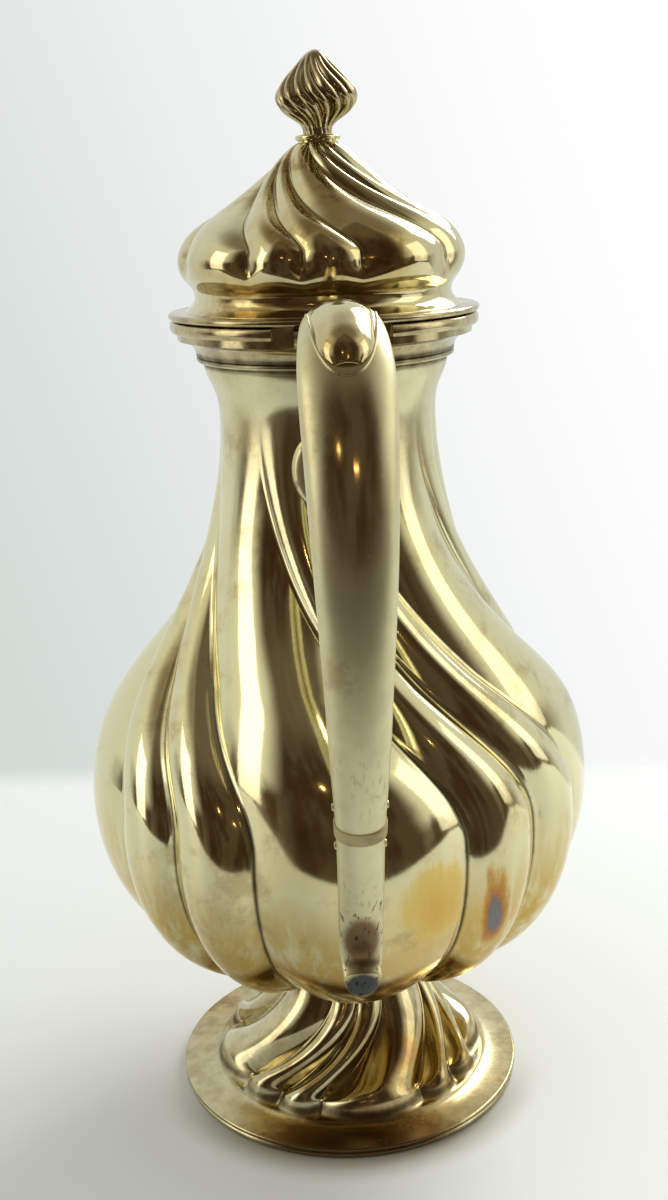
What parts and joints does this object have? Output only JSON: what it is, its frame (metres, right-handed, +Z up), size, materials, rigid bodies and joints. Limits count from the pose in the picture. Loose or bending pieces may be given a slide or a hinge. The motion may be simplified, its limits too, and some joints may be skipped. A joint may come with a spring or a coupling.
{
  "type": "coffee pot",
  "caption": "Pear-shaped silver coffee pot on a lobed foot, with swirling flutes, a hinged onion lid, a swan-neck spout and a heat-insulated handle.",
  "frame": {"origin": "centre of the ring that the pot stands on, on the table's surface", "axes": "+Z up the pot's axis, -Y towards the handle, +Y towards the spout, +X to the right seen from the handle"},
  "size_m": [0.1214, 0.1997, 0.25],
  "materials": {
    "silver": "polished",
    "ivory": "satin"
  },
  "bodies": {
    "pot": {"foot_rim": "silver", "foot": "silver", "waist_collar": "silver", "base_disc": "silver", "body_bowl": "silver", "body_shoulder": "silver", "spout": "silver", "mouth_rim": "silver", "hinge_knuckle_left": "silver", "hinge_knuckle_right": "silver", "hinge_pin": "silver", "handle_plate": "silver", "upper_socket": "silver", "grip_left": "silver", "grip_right": "silver", "thumb_rest": "silver", "lower_socket": "silver", "insulator_pins": "silver", "upper_insulator": "ivory", "lower_insulator": "ivory"},
    "lid": {"lid_rim": "silver", "lid_bezel": "silver", "lid_dome": "silver", "finial_collar": "silver", "finial": "silver", "finial_screw": "silver", "finial_nut": "silver", "hinge_knuckle_lid": "silver"}
  },
  "joints": [
    {"name": "lid_hinge", "type": "hinge", "parent": "pot", "child": "lid", "pos_m": [0, -0.0346, 0.1913], "axis": [1, 0, 0], "range_deg": [0, 78]}
  ]
}
